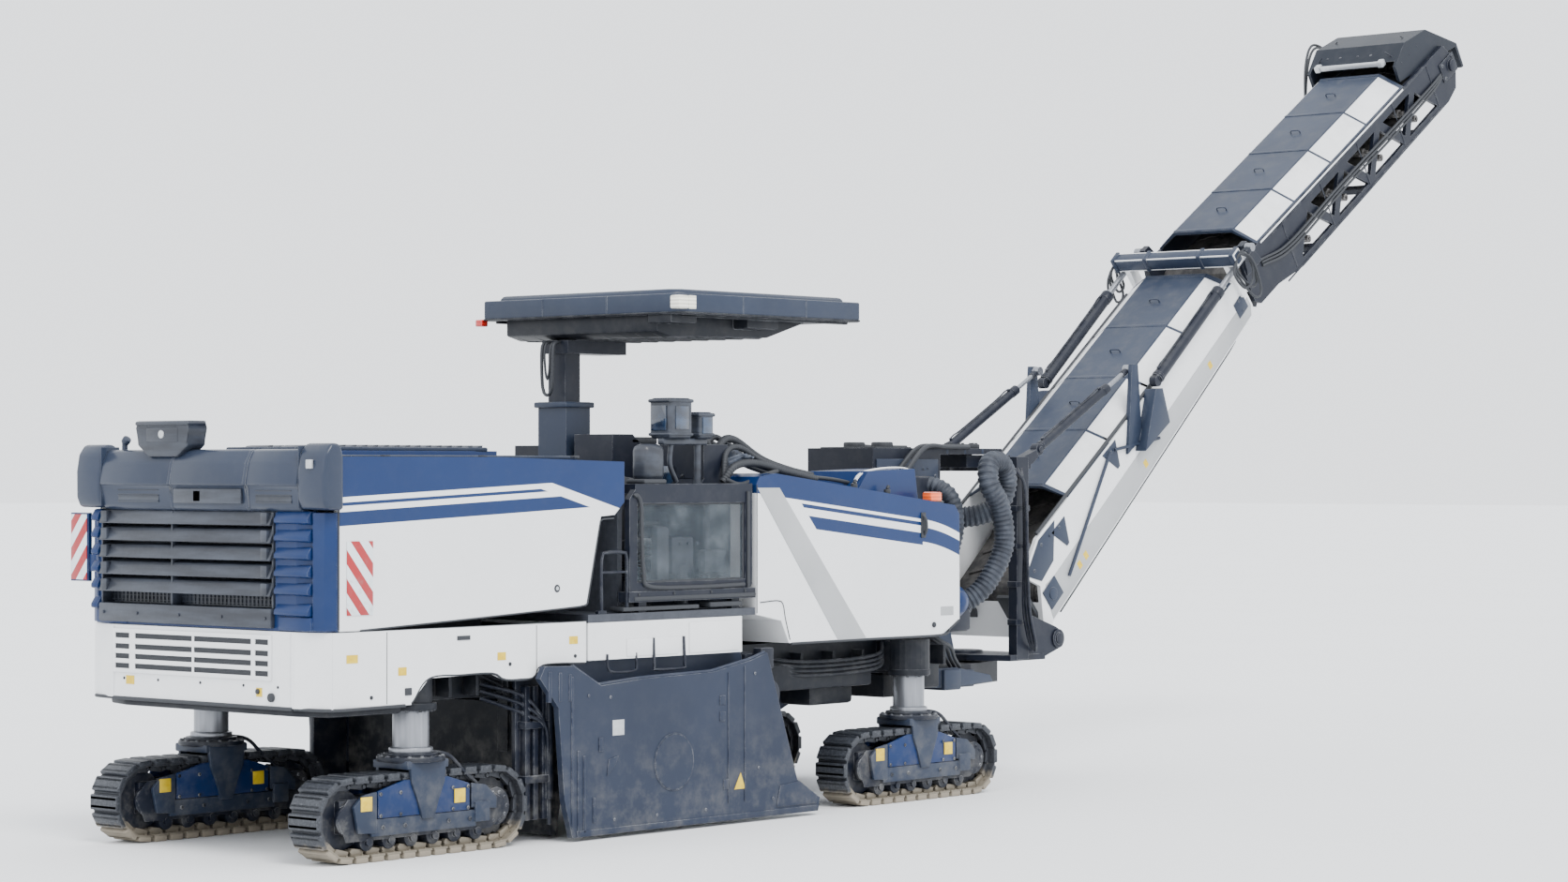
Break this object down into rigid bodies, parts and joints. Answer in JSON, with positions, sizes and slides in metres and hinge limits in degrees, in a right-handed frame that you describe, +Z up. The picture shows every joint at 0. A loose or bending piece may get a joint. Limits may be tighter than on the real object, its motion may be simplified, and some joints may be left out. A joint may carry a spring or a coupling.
{
  "type": "cold planer milling machine",
  "caption": "Crawler-mounted cold planer for milling asphalt: drum under the body, operator platform with canopy, and a slewing, lifting, folding front discharge conveyor.",
  "frame": {"origin": "on the ground, under the middle of the machine's overall box", "axes": "+X forward towards the discharge conveyor, +Y to the machine's left, +Z up"},
  "size_m": [15.9074, 2.793, 6.9898],
  "materials": {
    "blue_paint": "semi-gloss blue machine enamel",
    "white_paint": "semi-gloss white machine enamel",
    "slate_paint": "satin slate blue-grey enamel",
    "dark_paint": "satin near-black chassis enamel",
    "bare_steel": "worn and ground steel",
    "rubber": "matt black, dusty",
    "glass": "lightly tinted clear pane"
  },
  "bodies": {
    "root": {"rear_frame": "dark_paint", "front_frame": "dark_paint", "rear_skirt": "white_paint", "rear_cowl": "blue_paint", "rear_louvres": "dark_paint", "rear_visor": "slate_paint", "engine_block": "dark_paint", "platform_base": "white_paint", "platform_floor": "dark_paint", "side_screen_frame_right": "dark_paint", "side_screen_frame_left": "dark_paint", "side_glass_right": "glass", "side_glass_left": "glass", "operator_seat_right": "rubber", "operator_seat_left": "rubber", "monitor_stand": "dark_paint", "control_console": "dark_paint", "canopy_post": "slate_paint", "front_body": "white_paint", "drum_housing": "slate_paint", "scraper_blade": "dark_paint", "primary_conveyor": "slate_paint", "slew_gantry": "dark_paint"},
    "hood": {"hood": "white_paint"},
    "canopy": {"canopy_mast": "slate_paint", "canopy_roof": "slate_paint"},
    "drum": {"milling_drum": "bare_steel"},
    "crawler_rear_right": {"track_frame_rear_right": "dark_paint", "track_rear_right": "rubber"},
    "crawler_rear_left": {"track_frame_rear_left": "dark_paint", "track_rear_left": "rubber"},
    "crawler_front_right": {"track_frame_front_right": "dark_paint", "track_front_right": "rubber"},
    "crawler_front_left": {"track_frame_front_left": "dark_paint", "track_front_left": "rubber"},
    "side_plate_right": {"side_plate_right": "slate_paint"},
    "side_plate_left": {"side_plate_left": "slate_paint"},
    "slew": {"slew_yoke": "dark_paint"},
    "lower_conveyor": {"lower_conveyor_frame": "white_paint", "lower_conveyor_covers": "slate_paint", "lower_belt": "rubber"},
    "upper_conveyor": {"upper_conveyor_frame": "dark_paint", "upper_conveyor_covers": "slate_paint", "upper_belt": "rubber", "discharge_hood": "slate_paint"},
    "lift_barrel_right": {"lift_cylinder_right_barrel": "dark_paint"},
    "lift_rod_right": {"lift_cylinder_right_rod": "bare_steel"},
    "fold_barrel_right": {"fold_cylinder_right_barrel": "dark_paint"},
    "fold_rod_right": {"fold_cylinder_right_rod": "bare_steel"},
    "lift_barrel_left": {"lift_cylinder_left_barrel": "dark_paint"},
    "lift_rod_left": {"lift_cylinder_left_rod": "bare_steel"},
    "fold_barrel_left": {"fold_cylinder_left_barrel": "dark_paint"},
    "fold_rod_left": {"fold_cylinder_left_rod": "bare_steel"}
  },
  "joints": [
    {"name": "hood_hinge", "type": "hinge", "parent": "root", "child": "hood", "pos_m": [-7.73, 0, 2.7], "axis": [0, -1, 0], "range_deg": [0, 38]},
    {"name": "canopy_lift", "type": "slide", "parent": "root", "child": "canopy", "axis": [0, 0, 1], "range_m": [-0.35, 0]},
    {"name": "steer_rear_right", "type": "hinge", "parent": "root", "child": "crawler_rear_right", "pos_m": [-6.93, -1.05, 0.65], "axis": [0, 0, 1], "range_deg": [-15, 15]},
    {"name": "steer_rear_left", "type": "hinge", "parent": "root", "child": "crawler_rear_left", "pos_m": [-6.93, 1.05, 0.65], "axis": [0, 0, 1], "range_deg": [-15, 15]},
    {"name": "steer_front_right", "type": "hinge", "parent": "root", "child": "crawler_front_right", "pos_m": [-1.59, -1.05, 0.65], "axis": [0, 0, 1], "range_deg": [-15, 15]},
    {"name": "steer_front_left", "type": "hinge", "parent": "root", "child": "crawler_front_left", "pos_m": [-1.59, 1.05, 0.65], "axis": [0, 0, 1], "range_deg": [-15, 15]},
    {"name": "drum_spin", "type": "hinge", "parent": "root", "child": "drum", "pos_m": [-4.61, 0, 0.56], "axis": [0, 1, 0], "continuous": true},
    {"name": "side_plate_lift_right", "type": "slide", "parent": "root", "child": "side_plate_right", "axis": [0, 0, 1], "range_m": [0, 0.3]},
    {"name": "side_plate_lift_left", "type": "slide", "parent": "root", "child": "side_plate_left", "axis": [0, 0, 1], "range_m": [0, 0.3]},
    {"name": "conveyor_slew", "type": "hinge", "parent": "root", "child": "slew", "pos_m": [0.41, 0, 1], "axis": [0, 0, 1], "range_deg": [-60, 60]},
    {"name": "conveyor_lift", "type": "hinge", "parent": "slew", "child": "lower_conveyor", "pos_m": [0.91, 0, 1.17], "axis": [0, -1, 0], "range_deg": [-28, 3]},
    {"name": "conveyor_fold", "type": "hinge", "parent": "lower_conveyor", "child": "upper_conveyor", "pos_m": [4.16, 0, 4.06], "axis": [0, -1, 0], "range_deg": [-160, 0]},
    {"name": "lift_barrel_pivot_right", "type": "hinge", "parent": "slew", "child": "lift_barrel_right", "pos_m": [0.825, -0.5, 2.785], "axis": [0, -1, 0], "range_deg": [-32.8, 4.41]},
    {"name": "lift_rod_slide_right", "type": "slide", "parent": "lift_barrel_right", "child": "lift_rod_right", "axis": [0.8815, 0, 0.4721], "range_m": [-0.0928, 0.7827]},
    {"name": "fold_barrel_pivot_right", "type": "hinge", "parent": "lower_conveyor", "child": "fold_barrel_right", "pos_m": [2.41, -0.62, 3.4], "axis": [0, -1, 0], "range_deg": [-36.29, 1]},
    {"name": "fold_rod_slide_right", "type": "slide", "parent": "fold_barrel_right", "child": "fold_rod_right", "axis": [0.7657, 0, 0.6432], "range_m": [-0.01, 0.2487]},
    {"name": "lift_barrel_pivot_left", "type": "hinge", "parent": "slew", "child": "lift_barrel_left", "pos_m": [0.825, 0.5, 2.785], "axis": [0, -1, 0], "range_deg": [-32.8, 4.41]},
    {"name": "lift_rod_slide_left", "type": "slide", "parent": "lift_barrel_left", "child": "lift_rod_left", "axis": [0.8815, 0, 0.4721], "range_m": [-0.0928, 0.7827]},
    {"name": "fold_barrel_pivot_left", "type": "hinge", "parent": "lower_conveyor", "child": "fold_barrel_left", "pos_m": [2.41, 0.62, 3.4], "axis": [0, -1, 0], "range_deg": [-36.29, 1]},
    {"name": "fold_rod_slide_left", "type": "slide", "parent": "fold_barrel_left", "child": "fold_rod_left", "axis": [0.7657, 0, 0.6432], "range_m": [-0.01, 0.2487]}
  ],
  "couplings": [
    {"joint": "steer_rear_left", "follows": "steer_rear_right", "ratio": 1},
    {"joint": "steer_front_left", "follows": "steer_front_right", "ratio": 1},
    {"joint": "lift_barrel_pivot_right", "follows": "conveyor_lift", "ratio": 1.1356},
    {"joint": "lift_rod_slide_right", "follows": "conveyor_lift", "m_per_rad": -1.5812},
    {"joint": "fold_barrel_pivot_right", "follows": "conveyor_fold", "ratio": 0.22055},
    {"joint": "fold_rod_slide_right", "follows": "conveyor_fold", "m_per_rad": -0.08547},
    {"joint": "lift_barrel_pivot_left", "follows": "conveyor_lift", "ratio": 1.1356},
    {"joint": "lift_rod_slide_left", "follows": "conveyor_lift", "m_per_rad": -1.5812},
    {"joint": "fold_barrel_pivot_left", "follows": "conveyor_fold", "ratio": 0.22055},
    {"joint": "fold_rod_slide_left", "follows": "conveyor_fold", "m_per_rad": -0.08547}
  ]
}
